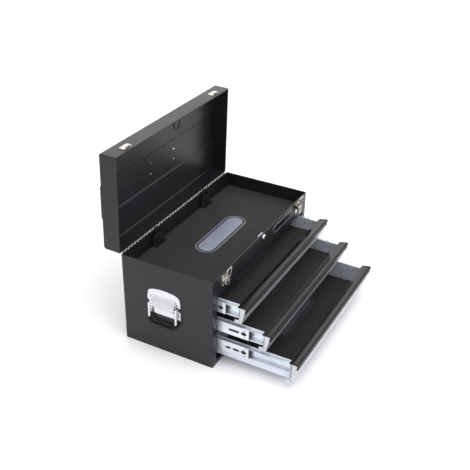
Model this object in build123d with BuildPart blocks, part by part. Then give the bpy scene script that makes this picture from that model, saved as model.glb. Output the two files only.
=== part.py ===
"""Portable steel tool chest: a three-drawer cabinet with an open top tray and a hinged lid.

Millimetres. +X is the chest's right, -Y its front and +Z up. The origin is the middle of the cabinet's
underside. The chest stands as it is stored open: lid up, drawers drawn out in steps, handles hanging.
"""

from build123d import *
import os
from math import cos, radians, sin

os.makedirs("parts", exist_ok=True)

# Cabinet
WIDTH = 508.0
DEPTH = 244.4
HEIGHT = 240.5
SHEET = 1.2
HEM = 2 * SHEET
HALF_W = WIDTH / 2
HALF_D = DEPTH / 2
INNER_W = HALF_W - SHEET
INNER_D = HALF_D - SHEET
COLUMN_EDGE = 234.6
COLUMN_RETURN = 20.0
COLUMN_TOP = 186.0
REAR_FLANGE_X = 242.0
FASCIA_BOTTOM = 188.0
FASCIA_TAB_X = 246.0
FASCIA_TAB_Z = (190.0, 236.0)
FLANGE_BACK = -108.0
SILL_HEIGHT = 11.0
TRAY_Z = 198.0
MAT_TOP = 204.0

# Lid
LID_OPEN_DEG = 88.6
LID_HEIGHT = 44.9
LID_FRONT = 124.3
LID_CORNER_R = 6.0
SWAGE_Y = 40.0
SWAGE_RISE = 2.5
SWAGE_RUN = 4.0

# Piano hinge
KNUCKLE_R = 2.1
HINGE_PIN_R = 1.2
RUNNING_GAP = 0.05
HINGE_Y = HALF_D + 2.4
HINGE_Z = HEIGHT - 1.8
KNUCKLE_PITCH = 13.0
KNUCKLE_LENGTH = 6.2
KNUCKLE_PAIRS = 38
LEAF_SHEET = 0.9
LEAF_HEIGHT = 22.0
LEAF_STEP = 2.5
RIM_Z = HEIGHT + 0.5
HINGE_HALF = KNUCKLE_PAIRS * KNUCKLE_PITCH / 2 + 1
LEAF_RELIEF = 0.2

# Drawers, from the top one down
SIDE_TOP = (181.1, 127.9, 74.7)
EXTENSION = (75.2, 138.5, 208.6)
MIDDLE_TRAVEL = (46.2, 107.2, 107.8)
PAN_DEPTH = (37.7, 37.7, 52.2)
FRONT_DROP = (42.0, 42.0, 55.0)
MIDDLE_SLOTS = (((24, 41), (47, 60)), ((25, 52),), ((24, 41), (47, 60)))
DRAWER_SHEET = 1.0
CLOSED_FRONT = -99.2
PAN_HALF_W = 221.3
PAN_LENGTH = 199.0
FRONT_HALF_W = 233.4
FRONT_TOP_DEPTH = 20.4
FRONT_FOOT_DEPTH = 11.0
FOOT_TAB = 6.5
MAT_SHEET = 2.0

# Ball-bearing slides
SLIDE_SHEET = 1.1
SLIDE_LENGTH = 210.0
SLIDE_DROP = 16.0
SLOT_HEIGHT = 6.4
UPRIGHT_FACE = 234.0
UPRIGHT_TOP = 196.0
UPRIGHT_Y = (-98.0, 78.0)
UPRIGHT_LENGTH = 30.0
SLIDE_CLOSED_FRONT = -97.0

# Lock, lock rods, latches and handles
LOCK_Z = 229.0
LOCK_HOLE_R = 7.6
LOCK_BACK = -117.0
LOCK_FACE = -125.6
PLUG_R = 5.5
CAM_REACH = 19.5
CAM_RISE = 9.8
LATCH_X = 197.0
LATCH_BASE_W = 28.0
LATCH_BASE_H = 30.0
LATCH_PIN_Y = -HALF_D - 6.0
LATCH_PIN_Z = 224.0
LOOP_PIN_Y = LATCH_PIN_Y - 0.3
LOOP_PIN_Z = 213.5
LOOP_LEAN_DEG = 8.0
LOOP_WIRE_R = 1.1
LOOP_HALF = 10.6
LOOP_END = 5.6
LOOP_HEIGHT = 39.0
LEVER_HALF = 8.0
LEVER_TOP = 226.5
LEVER_TIP = 206.0
BASE_EAR_X = 8.15
BASE_EAR = 1.0
ROD_X = 116.0
ROD_TOP = HEIGHT + 5.9
HANDLE_Y = 8.2
HANDLE_PIN_X = HALF_W + 8.5
HANDLE_PIN_Z = 135.0
BAIL_ARM_Y = 36.8
TOP_HANDLE_X = 52.0
TOP_HANDLE_Y = -1.3
TOP_HANDLE_RISE = 8.3

SIDES = (("left", -1), ("right", 1))
open_sin, open_cos = sin(radians(LID_OPEN_DEG)), cos(radians(LID_OPEN_DEG))
# Lid planes: on LID_FLAT a local point is the shut lid's (x, y) and the offset is its height, both
# counted from the hinge axis; on LID_SIDE a local point is the shut lid's (y, z).
LID_FLAT = Plane(origin=(0, HINGE_Y, HINGE_Z), x_dir=(1, 0, 0), z_dir=(0, open_sin, open_cos))
LID_SIDE = Plane(origin=(0, HINGE_Y, HINGE_Z), x_dir=(0, open_cos, -open_sin), z_dir=(1, 0, 0))


def slab(low, high, mode=Mode.ADD):
    """A box between two corners, added to the part being built."""
    size = [b - a for a, b in zip(low, high)]
    centre = tuple((a + b) / 2 for a, b in zip(low, high))
    with Locations(centre):
        Box(*size, mode=mode)


def side_slab(sign, near, far, y, z, mode=Mode.ADD):
    """A slab from |x| = near to |x| = far on the left (-1) or right (+1) side."""
    ends = sorted((sign * near, sign * far))
    slab((ends[0], y[0], z[0]), (ends[1], y[1], z[1]), mode)


def lid_slab(x, y, z, mode=Mode.ADD):
    """A slab given in the shut lid's own coordinates, turned with the open lid."""
    with BuildSketch(LID_FLAT.offset(z[0] - HINGE_Z)) as base:
        with Locations(((x[0] + x[1]) / 2, (y[0] + y[1]) / 2 - HINGE_Y)):
            Rectangle(x[1] - x[0], y[1] - y[0])
    extrude(base.sketch, amount=z[1] - z[0], mode=mode)


def write(piece, name):
    """Labels a finished piece and writes its STEP file."""
    piece.part.label = name
    export_step(piece.part, "parts/" + name + ".step")


# ---------------------------------------------------------------- cabinet shell
for side, sign in SIDES:
    with BuildPart() as side_panel:
        side_slab(sign, INNER_W, HALF_W, (-HALF_D, HALF_D), (0, HEIGHT))
        side_slab(sign, COLUMN_EDGE, HALF_W, (-HALF_D, -INNER_D), (0, HEIGHT))
        side_slab(sign, COLUMN_EDGE, COLUMN_EDGE + SHEET, (-HALF_D, -HALF_D + COLUMN_RETURN),
                  (0, COLUMN_TOP))
        side_slab(sign, HALF_W - HEM, HALF_W, (-INNER_D, INNER_D), (HEIGHT - 8, HEIGHT))
        side_slab(sign, REAR_FLANGE_X, HALF_W, (INNER_D - SHEET, INNER_D), (0, HEIGHT - 8))
        front_corner = (sign * HALF_W, -HALF_D, HEIGHT / 2)
        bend = side_panel.edges().filter_by(Axis.Z).sort_by_distance(front_corner)[0]
        fillet(bend, radius=1.8)
    write(side_panel, side + "_side_panel")

with BuildPart() as back_panel:
    slab((-INNER_W, INNER_D, 0), (INNER_W, HALF_D, HEIGHT))
    slab((-HALF_W + HEM, HALF_D - HEM, HEIGHT - 6), (HALF_W - HEM, HALF_D, HEIGHT))
    slab((-HINGE_HALF, HALF_D - LEAF_RELIEF, HINGE_Z - 1), (HINGE_HALF, HALF_D, HEIGHT), Mode.SUBTRACT)
write(back_panel, "back_panel")

with BuildPart() as bottom_panel:
    slab((-INNER_W, -INNER_D, 0), (INNER_W, INNER_D - SHEET, SHEET))
    slab((-COLUMN_EDGE, -HALF_D, 0), (COLUMN_EDGE, -INNER_D, SILL_HEIGHT))
    for sign in (-1, 1):
        side_slab(sign, COLUMN_EDGE, REAR_FLANGE_X, (-INNER_D, -INNER_D + 1), (0, SHEET),
                  Mode.SUBTRACT)
        side_slab(sign, COLUMN_EDGE, COLUMN_EDGE + SHEET, (-HALF_D, -HALF_D + COLUMN_RETURN), (0, SHEET),
                  Mode.SUBTRACT)
write(bottom_panel, "bottom_panel")

with BuildPart() as front_fascia:
    slab((-COLUMN_EDGE, -HALF_D, FASCIA_BOTTOM), (COLUMN_EDGE, -INNER_D, HEIGHT))
    slab((-COLUMN_EDGE, -HALF_D, HEIGHT - 3), (COLUMN_EDGE, -HALF_D + HEM, HEIGHT))
    slab((-COLUMN_EDGE, -HALF_D, FASCIA_BOTTOM), (COLUMN_EDGE, FLANGE_BACK, FASCIA_BOTTOM + SHEET))
    slab((-COLUMN_EDGE, FLANGE_BACK - SHEET, FASCIA_BOTTOM), (COLUMN_EDGE, FLANGE_BACK, TRAY_Z))
    for sign in (-1, 1):
        side_slab(sign, COLUMN_EDGE - 1, FASCIA_TAB_X, (-INNER_D, -INNER_D + SHEET), FASCIA_TAB_Z)
    with BuildSketch(Plane.XZ.offset(INNER_D)):
        with Locations((0, LOCK_Z)):
            Circle(LOCK_HOLE_R)
    extrude(amount=HALF_D - INNER_D, mode=Mode.SUBTRACT)
write(front_fascia, "front_fascia")

with BuildPart() as tray_floor:
    slab((-INNER_W, -INNER_D + SHEET, TRAY_Z), (INNER_W, INNER_D - SHEET, TRAY_Z + SHEET))
    for y in (-INNER_D + SHEET, INNER_D - HEM):
        slab((-INNER_W, y, TRAY_Z), (INNER_W, y + SHEET, TRAY_Z + 4))
    for sign in (-1, 1):
        side_slab(sign, INNER_W - SHEET, INNER_W, (-INNER_D + SHEET, INNER_D - SHEET), (TRAY_Z, TRAY_Z + 4))
    for x in (-ROD_X, ROD_X):
        slab((x - 21, 109.5, TRAY_Z), (x + 21, INNER_D, TRAY_Z + 4), Mode.SUBTRACT)
write(tray_floor, "tray_floor")

NOTCH_W = 46.0
MAT_BACK = 115.0
with BuildPart() as tray_mat:
    slab((-251.2, -118.2, TRAY_Z + SHEET), (251.2, MAT_BACK, MAT_TOP))
    for x in (-ROD_X, ROD_X):
        slab((x - NOTCH_W / 2, MAT_BACK - 14, TRAY_Z), (x + NOTCH_W / 2, MAT_BACK, MAT_TOP), Mode.SUBTRACT)
    corners = tray_mat.edges().filter_by(Axis.Z)
    fillet(corners, radius=2.5)
write(tray_mat, "tray_mat")


# ---------------------------------------------------------------- slide carriers and slides
def channel(sign, web_x, depth, half_height, y_front, z_centre):
    """A C-section slide member whose web faces |x| = web_x; a negative depth opens outwards."""
    toward = -1 if depth > 0 else 1
    size = abs(depth)
    middle = sign * (web_x + toward * size / 2)
    with BuildSketch(Plane.XZ.offset(-y_front)) as section:
        with Locations((middle, z_centre)):
            RectangleRounded(size, 2 * half_height, 1.4)
        with Locations((middle + sign * toward * SLIDE_SHEET, z_centre)):
            Rectangle(size, 2 * (half_height - SLIDE_SHEET), mode=Mode.SUBTRACT)
    extrude(section.sketch, amount=-SLIDE_LENGTH)


with BuildPart() as slide_uprights:
    for sign in (-1, 1):
        for y in UPRIGHT_Y:
            end, span = y + UPRIGHT_LENGTH, (SHEET, UPRIGHT_TOP)
            side_slab(sign, UPRIGHT_FACE, UPRIGHT_FACE + SHEET, (y, end), span)
            side_slab(sign, UPRIGHT_FACE, INNER_W, (y, y + SHEET), span)
            side_slab(sign, UPRIGHT_FACE, INNER_W, (end - SHEET, end), span)
write(slide_uprights, "slide_uprights")

with BuildPart() as cabinet_slides:
    for sign in (-1, 1):
        for top in SIDE_TOP:
            channel(sign, UPRIGHT_FACE, 9.6, 17.5, SLIDE_CLOSED_FRONT + 0.5, top - SLIDE_DROP)
write(cabinet_slides, "cabinet_slides")


# ---------------------------------------------------------------- piano hinge
def knuckle_row(plane, shift, up):
    """Leaf tongues and knuckles along the hinge axis; `up` is the side of the axis the leaf is on."""
    with BuildPart() as leaf:
        y_face = -2.4
        length = KNUCKLE_PAIRS * KNUCKLE_PITCH
        with BuildSketch(plane.offset(-length / 2)):
            with Locations((y_face + LEAF_SHEET / 2, up * (LEAF_STEP + LEAF_HEIGHT / 2))):
                Rectangle(LEAF_SHEET, LEAF_HEIGHT)
        extrude(amount=length)
        for i in range(KNUCKLE_PAIRS):
            start = -length / 2 + shift + i * KNUCKLE_PITCH
            with BuildSketch(plane.offset(start)):
                Circle(KNUCKLE_R)
                with Locations((y_face + LEAF_SHEET / 2, up * LEAF_STEP / 2)):
                    Rectangle(LEAF_SHEET, LEAF_STEP)
                Circle(HINGE_PIN_R + RUNNING_GAP, mode=Mode.SUBTRACT)
            extrude(amount=KNUCKLE_LENGTH)
    return leaf


BODY_SIDE = Plane(origin=(0, HINGE_Y, HINGE_Z), x_dir=(0, 1, 0), z_dir=(1, 0, 0))
hinge_body_leaf = knuckle_row(BODY_SIDE, 0.15, -1)
write(hinge_body_leaf, "hinge_body_leaf")
hinge_lid_leaf = knuckle_row(LID_SIDE, KNUCKLE_PITCH / 2 + 0.15, 1)
write(hinge_lid_leaf, "hinge_lid_leaf")

with BuildPart() as hinge_pin:
    with BuildSketch(BODY_SIDE.offset(-KNUCKLE_PAIRS * KNUCKLE_PITCH / 2)):
        Circle(HINGE_PIN_R)
    extrude(amount=KNUCKLE_PAIRS * KNUCKLE_PITCH)
write(hinge_pin, "hinge_pin")

# ---------------------------------------------------------------- lid
LID_TOP = RIM_Z + LID_HEIGHT


def lid_outline(inset):
    """The shut lid's section across Y and Z, set in by `inset` from its outer face."""
    front, back = -LID_FRONT + inset - HINGE_Y, HALF_D - inset - HINGE_Y
    rim, top = RIM_Z - HINGE_Z, LID_TOP - inset - HINGE_Z
    crown = top + SWAGE_RISE
    step_front, step_back = -SWAGE_Y - HINGE_Y, SWAGE_Y - HINGE_Y
    with BuildSketch(LID_SIDE.offset(-HALF_W + inset)) as section:
        with BuildLine():
            Polyline(
                (front, rim),
                (front, top),
                (step_front - SWAGE_RUN, top),
                (step_front, crown),
                (step_back, crown),
                (step_back + SWAGE_RUN, top),
                (back, top),
                (back, rim),
                close=True,
            )
        make_face()
        corners = section.vertices().sort_by_distance((front, top))[0:1]
        corners += section.vertices().sort_by_distance((back, top))[0:1]
        fillet(corners, radius=LID_CORNER_R - inset)
    return section.sketch


with BuildPart() as lid_shell:
    extrude(lid_outline(0), amount=WIDTH)
    extrude(lid_outline(SHEET), amount=WIDTH - 2 * SHEET, mode=Mode.SUBTRACT)
    hem_z = (RIM_Z, RIM_Z + 7)
    lid_slab((-HALF_W, HALF_W), (-LID_FRONT, -LID_FRONT + HEM), hem_z)
    lid_slab((-HALF_W, HALF_W), (HALF_D - HEM, HALF_D), hem_z)
    lid_slab((-HALF_W, -HALF_W + HEM), (-LID_FRONT, HALF_D), hem_z)
    lid_slab((HALF_W - HEM, HALF_W), (-LID_FRONT, HALF_D), hem_z)
write(lid_shell, "lid_shell")

CATCH_Z = RIM_Z + 6.5
CATCH_HALF = 15.5
HOOK_HALF = 8.8
HOOK_OUT = 5.2
HOOK_SHEET = 1.4
with BuildPart() as lid_catches:
    for x in (-LATCH_X, LATCH_X):
        face = -LID_FRONT - SHEET
        lid_slab((x - CATCH_HALF, x + CATCH_HALF), (face, -LID_FRONT), (CATCH_Z, CATCH_Z + 16))
    plate_normal = Axis((0, 0, 0), LID_FLAT.y_dir)
    fillet(lid_catches.edges().filter_by(plate_normal), radius=5)
    for x in (-LATCH_X, LATCH_X):
        hook_x, tip = (x - HOOK_HALF, x + HOOK_HALF), -LID_FRONT - HOOK_OUT
        lid_slab(hook_x, (tip, face), (CATCH_Z + 1, CATCH_Z + 1 + HOOK_SHEET))
        lid_slab(hook_x, (tip, tip + HOOK_SHEET), (CATCH_Z + 1, CATCH_Z + 7))
write(lid_catches, "lid_catches")

STRIKE_Z = RIM_Z + 2.2
STRIKE_R = 1.2
STRIKE_HALF = 15.5
STRIKE_DEPTH = 26.0
STRIKE_STRAP = 4.2
with BuildPart() as lid_strike:
    strike_front = -LID_FRONT + HEM
    with BuildSketch(LID_FLAT.offset(STRIKE_Z - STRIKE_R - HINGE_Z)):
        with BuildLine():
            ring = Polyline(
                (-STRIKE_HALF, strike_front - HINGE_Y),
                (1.5 - STRIKE_HALF, strike_front + STRIKE_DEPTH - 8 - HINGE_Y),
            )
            nose = ThreePointArc(
                ring @ 1,
                (0, strike_front + STRIKE_DEPTH - HINGE_Y),
                (STRIKE_HALF - 1.5, strike_front + STRIKE_DEPTH - 8 - HINGE_Y),
            )
            Polyline(nose @ 1, (STRIKE_HALF, strike_front - HINGE_Y), ring @ 0)
        make_face()
        offset(amount=-STRIKE_STRAP, kind=Kind.INTERSECTION, mode=Mode.SUBTRACT)
    extrude(amount=2 * STRIKE_R)
    lid_slab((-STRIKE_HALF, STRIKE_HALF), (strike_front, strike_front + SHEET),
             (STRIKE_Z - STRIKE_R, STRIKE_Z + 9))
write(lid_strike, "lid_strike")

# Top carrying handle: two saddles riveted to the crown of the lid, and a bail with a moulded grip.
CROWN_Z = LID_TOP + SWAGE_RISE
TOP_PIN_Z = CROWN_Z + TOP_HANDLE_RISE
SADDLE_HALF_W = 7.0
with BuildPart() as top_handle_saddles:
    for x in (-TOP_HANDLE_X, TOP_HANDLE_X):
        lid_slab((x - SADDLE_HALF_W, x + SADDLE_HALF_W), (TOP_HANDLE_Y - 22, TOP_HANDLE_Y + 22),
                 (CROWN_Z, CROWN_Z + 1.5))
        with BuildSketch(LID_SIDE.offset(x - SADDLE_HALF_W)):
            pin = (TOP_HANDLE_Y - HINGE_Y, TOP_PIN_Z - HINGE_Z)
            with Locations(pin):
                Circle(5.2)
            with Locations((pin[0], pin[1] - TOP_HANDLE_RISE / 2)):
                Rectangle(10.4, TOP_HANDLE_RISE)
            with Locations(pin):
                Circle(2.8 + RUNNING_GAP, mode=Mode.SUBTRACT)
        extrude(amount=2 * SADDLE_HALF_W)
write(top_handle_saddles, "top_handle_saddles")

with BuildPart() as top_handle_rivets:
    for x in (-TOP_HANDLE_X, TOP_HANDLE_X):
        for y in (TOP_HANDLE_Y - 14.5, TOP_HANDLE_Y + 14.5):
            with BuildSketch(LID_FLAT.offset(CROWN_Z + 1.5 - HINGE_Z)):
                with Locations((x, y - HINGE_Y)):
                    Circle(3.6)
            extrude(amount=2.0, taper=20)
            with BuildSketch(LID_FLAT.offset(CROWN_Z - SHEET - HINGE_Z)):
                with Locations((x, y - HINGE_Y)):
                    Circle(3.2)
            extrude(amount=-1.8, taper=20)
write(top_handle_rivets, "top_handle_rivets")

BAIL_HALF = 64.0
BAIL_REACH = 36.0
PIN_PLANE = LID_FLAT.offset(TOP_PIN_Z - HINGE_Z)
pivot_y = TOP_HANDLE_Y - HINGE_Y
with BuildPart() as top_handle_bail:
    with BuildLine(PIN_PLANE):
        bail_path = FilletPolyline(
            (-44, pivot_y),
            (-BAIL_HALF, pivot_y),
            (-BAIL_HALF, pivot_y + BAIL_REACH),
            (BAIL_HALF, pivot_y + BAIL_REACH),
            (BAIL_HALF, pivot_y),
            (44, pivot_y),
            radius=4.5,
        )
    with BuildSketch(Plane(origin=bail_path @ 0, z_dir=bail_path % 0)):
        Circle(2.8)
    sweep(path=bail_path)
write(top_handle_bail, "top_handle_bail")

with BuildPart() as top_handle_grip:
    grip_plane = Plane(origin=PIN_PLANE.from_local_coords((-52, pivot_y + BAIL_REACH, 0)), z_dir=(1, 0, 0))
    with BuildSketch(grip_plane):
        Circle(7.0)
        Circle(2.8 + RUNNING_GAP, mode=Mode.SUBTRACT)
    extrude(amount=104)
    fillet(top_handle_grip.edges().filter_by(GeomType.CIRCLE).sort_by(SortBy.RADIUS)[-2:], radius=2.0)
write(top_handle_grip, "top_handle_grip")


# ---------------------------------------------------------------- drawers
def drawer_front_profile(y0, top, drop):
    """The folded sheet of a drawer front in section: top flange, raked face and foot flange."""
    with BuildLine() as outline:
        Polyline(
            (y0, top),
            (y0 - FRONT_TOP_DEPTH, top),
            (y0 - FRONT_FOOT_DEPTH, top - drop),
            (y0 - 1, top - drop),
            (y0 - 1, top - drop + SHEET),
            (y0 - FRONT_FOOT_DEPTH + SHEET, top - drop + SHEET),
            (y0 - FRONT_TOP_DEPTH + 1.5 * SHEET, top - SHEET),
            (y0, top - SHEET),
            close=True,
        )
    make_face(outline.edges())


def grip_profile(y0, top, drop):
    """The pull rail's section: two top facets, a rounded nose, a finger groove and a lower lip."""
    lip = 10.4
    rake = (FRONT_TOP_DEPTH - FRONT_FOOT_DEPTH) / drop
    inner_lip = y0 - 20.7 + lip * rake
    with BuildLine() as outline:
        Polyline((y0 - 20.7, top), (y0, top), (y0, top + 0.8), (y0 - 10, top + 3.6), (y0 - 19.5, top + 5))
        ThreePointArc((y0 - 19.5, top + 5), (y0 - 23.9, top + 3.6), (y0 - 25.0, top + 0.2))
        ThreePointArc((y0 - 25.0, top + 0.2), (y0 - 22.7, top - 4.2), (y0 - 23.6, top - 8.2))
        ThreePointArc((y0 - 23.6, top - 8.2), (y0 - 22.0, top - 11.2), (inner_lip, top - lip))
        Line((inner_lip, top - lip), (y0 - 20.7, top))
    make_face(outline.edges())


for i in range(3):
    number = str(i + 1)
    top = SIDE_TOP[i]
    y0 = CLOSED_FRONT - EXTENSION[i]
    y1 = y0 + PAN_LENGTH
    floor = top - PAN_DEPTH[i]
    drop = FRONT_DROP[i]

    with BuildPart() as drawer_pan:
        slab((-PAN_HALF_W, y0, floor), (PAN_HALF_W, y1, floor + DRAWER_SHEET))
        slab((-PAN_HALF_W, y1 - DRAWER_SHEET, floor), (PAN_HALF_W, y1, top - 2))
        for sign in (-1, 1):
            side_slab(sign, PAN_HALF_W - DRAWER_SHEET, PAN_HALF_W, (y0, y1), (floor, top))
            side_slab(sign, PAN_HALF_W - 2.2, PAN_HALF_W, (y0, y1), (top - 4.5, top))
            with BuildSketch(Plane.YZ.offset(sign * PAN_HALF_W)):
                with Locations((y0 + 21, top - 13), (y0 + 36, top - 15)):
                    Circle(1.5)
            extrude(amount=-sign * DRAWER_SHEET, mode=Mode.SUBTRACT)
        hook = top - 20
        for x in (-ROD_X, ROD_X):
            slab((x - 6, y1, hook), (x + 6, y1 + 11, hook + SHEET))
            slab((x - 6, y1 + 11 - SHEET, hook), (x + 6, y1 + 11, hook + 6.5))
    write(drawer_pan, "drawer_pan_" + number)

    with BuildPart() as drawer_front:
        with BuildSketch(Plane.YZ.offset(-FRONT_HALF_W)):
            drawer_front_profile(y0, top, drop)
        extrude(amount=2 * FRONT_HALF_W)
        slab((-PAN_HALF_W, y0 - DRAWER_SHEET, floor), (PAN_HALF_W, y0, top))
        for sign in (-1, 1):
            start = -FRONT_HALF_W if sign < 0 else FRONT_HALF_W - SHEET
            with BuildSketch(Plane.YZ.offset(start)):
                with BuildLine():
                    Polyline(
                        (y0 - 7, top),
                        (y0 - FRONT_TOP_DEPTH, top),
                        (y0 - FRONT_FOOT_DEPTH, top - drop),
                        (y0 + FOOT_TAB, top - drop),
                        (y0 + FOOT_TAB, top - drop + 8),
                        (y0 - 2, top - drop + 8),
                        (y0 - 7, top - drop + 16),
                        close=True,
                    )
                make_face()
                with Locations((y0 - 6.5, top - drop + 7.5)):
                    Circle(1.8, mode=Mode.SUBTRACT)
            extrude(amount=SHEET)
    write(drawer_front, "drawer_front_" + number)

    with BuildPart() as drawer_grip:
        with BuildSketch(Plane.YZ.offset(-FRONT_HALF_W)):
            grip_profile(y0, top, drop)
        extrude(amount=2 * FRONT_HALF_W)
    write(drawer_grip, "drawer_grip_" + number)

    with BuildPart() as drawer_mat:
        mat_z = floor + DRAWER_SHEET
        slab((-219.8, y0 + 0.6, mat_z), (219.8, y1 - 1.6, mat_z + MAT_SHEET))
    write(drawer_mat, "drawer_mat_" + number)

    with BuildPart() as drawer_slides:
        for sign in (-1, 1):
            channel(sign, PAN_HALF_W, -7.8, 12.5, y0 + 1, top - SLIDE_DROP)
    write(drawer_slides, "drawer_slides_" + number)

    middle_front = SLIDE_CLOSED_FRONT - MIDDLE_TRAVEL[i]
    centre_z = top - SLIDE_DROP
    with BuildPart() as middle_slides:
        for sign in (-1, 1):
            channel(sign, UPRIGHT_FACE - 2.4, 8.2, 15.0, middle_front, centre_z)
            with BuildSketch(Plane.YZ.offset(sign * (UPRIGHT_FACE - 2.4))):
                with Locations((middle_front + 13, centre_z)):
                    Ellipse(7.0, 5.2)
                with Locations((middle_front + 10, centre_z + 10), (middle_front + 10, centre_z - 10)):
                    Circle(1.6)
                for start, end in MIDDLE_SLOTS[i]:
                    with Locations((middle_front + (start + end) / 2, centre_z)):
                        SlotOverall(end - start, SLOT_HEIGHT)
            extrude(amount=-sign * SLIDE_SHEET, mode=Mode.SUBTRACT)
    write(middle_slides, "middle_slides_" + number)

    with BuildPart() as slide_bumpers:
        for sign in (-1, 1):
            start = -UPRIGHT_FACE + 2.4 if sign < 0 else UPRIGHT_FACE - 4.4
            with BuildSketch(Plane.YZ.offset(start)):
                with BuildLine():
                    edge = Polyline((middle_front, centre_z + 12), (middle_front - 2.4, centre_z + 12))
                    nose = ThreePointArc(edge @ 1, (middle_front - 5, centre_z),
                                         (middle_front - 2.4, centre_z - 12))
                    Polyline(nose @ 1, (middle_front, centre_z - 12), edge @ 0)
                make_face()
            extrude(amount=2.0)
    write(slide_bumpers, "slide_bumpers_" + number)

# ---------------------------------------------------------------- drawer lock rods
with BuildPart() as rod_guides:
    for x in (-ROD_X, ROD_X):
        slab((x - 20, 110.5, 201), (x + 20, 111.7, 232))
        for edge in (x - 20, x + 18.8):
            slab((edge, 110.5, 201), (edge + SHEET, INNER_D, 232))
    guides = rod_guides.edges().filter_by(Axis.Z).group_by(Axis.Y)[0]
    fillet(guides, radius=1.0)
write(rod_guides, "rod_guides")

ROD_LIFT = 6.0
for side, sign in SIDES:
    x = sign * ROD_X
    with BuildPart() as lock_rod:
        slab((x - 6.5, 116.4, 30), (x + 6.5, 118.4, ROD_TOP))
        slab((x - 6.5, 116.4, ROD_TOP - 2), (x + 6.5, 119.4, ROD_TOP))
        for top in SIDE_TOP:
            tip = top - 20 + 1.8 + ROD_LIFT
            slab((x - 5, 104.0, tip + 7), (x + 5, 118.4, tip + 9))
            slab((x - 5, 104.0, tip), (x + 5, 106.0, tip + 9))
    write(lock_rod, "lock_rod_" + side)

# ---------------------------------------------------------------- key lock
with BuildPart() as lock_barrel:
    with BuildSketch(Plane.XZ.offset(HALF_D)):
        with Locations((0, LOCK_Z)):
            Circle(8.6)
    extrude(amount=3.0, taper=14)
    with BuildSketch(Plane.XZ.offset(-LOCK_BACK)):
        with Locations((0, LOCK_Z)):
            Circle(LOCK_HOLE_R - 0.1)
    extrude(amount=HALF_D + LOCK_BACK)
    with BuildSketch(Plane.XZ.offset(-LOCK_BACK - 1)):
        with Locations((0, LOCK_Z)):
            Circle(PLUG_R + RUNNING_GAP)
    extrude(amount=20, mode=Mode.SUBTRACT)
write(lock_barrel, "lock_barrel")

with BuildPart() as lock_nut:
    with BuildSketch(Plane.XZ.offset(-LOCK_BACK)):
        with Locations((0, LOCK_Z)):
            RegularPolygon(9.6, 6)
            Circle(LOCK_HOLE_R, mode=Mode.SUBTRACT)
    extrude(amount=INNER_D + LOCK_BACK)
write(lock_nut, "lock_nut")

with BuildPart() as lock_plug:
    with BuildSketch(Plane.XZ.offset(-LOCK_BACK - 0.5)):
        with Locations((0, LOCK_Z)):
            Circle(PLUG_R)
    extrude(amount=LOCK_BACK + 0.5 - LOCK_FACE)
    slab((-0.8, LOCK_FACE - 1, LOCK_Z - 3.6), (0.8, LOCK_FACE + 4, LOCK_Z + 3.6), Mode.SUBTRACT)
write(lock_plug, "lock_plug")

with BuildPart() as lock_cam:
    with BuildSketch(Plane.XZ.offset(-LOCK_BACK - 2.5)):
        with BuildLine():
            Polyline(
                (-4.5, LOCK_Z - 5),
                (4.5, LOCK_Z - 5),
                (4.5, LOCK_Z + CAM_RISE),
                (-CAM_REACH, LOCK_Z + CAM_RISE),
                (-CAM_REACH, LOCK_Z + 5),
                (-4.5, LOCK_Z + 5),
                close=True,
            )
        make_face()
    extrude(amount=2.0)
write(lock_cam, "lock_cam")

# ---------------------------------------------------------------- draw latches
FACE_Y = -HALF_D
with BuildPart() as latch_bases:
    for x in (-LATCH_X, LATCH_X):
        with BuildSketch(Plane.XZ.offset(HALF_D)):
            with Locations((x, 221)):
                RectangleRounded(LATCH_BASE_W, LATCH_BASE_H, 4)
        extrude(amount=1.2)
        for edge in (x - BASE_EAR_X - BASE_EAR, x + BASE_EAR_X):
            with BuildSketch(Plane.YZ.offset(edge)):
                with BuildLine():
                    foot = Polyline((LATCH_PIN_Y, LATCH_PIN_Z - 3), (FACE_Y - 1.2, LATCH_PIN_Z - 6),
                                    (FACE_Y - 1.2, LATCH_PIN_Z + 6), (LATCH_PIN_Y, LATCH_PIN_Z + 3))
                    ThreePointArc(foot @ 1, (LATCH_PIN_Y - 3, LATCH_PIN_Z), foot @ 0)
                make_face()
            extrude(amount=BASE_EAR)
        with BuildSketch(Plane.YZ.offset(x - BASE_EAR_X - BASE_EAR)):
            with Locations((LATCH_PIN_Y, LATCH_PIN_Z)):
                Circle(1.2)
        extrude(amount=2 * (BASE_EAR_X + BASE_EAR))
write(latch_bases, "latch_bases")

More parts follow.
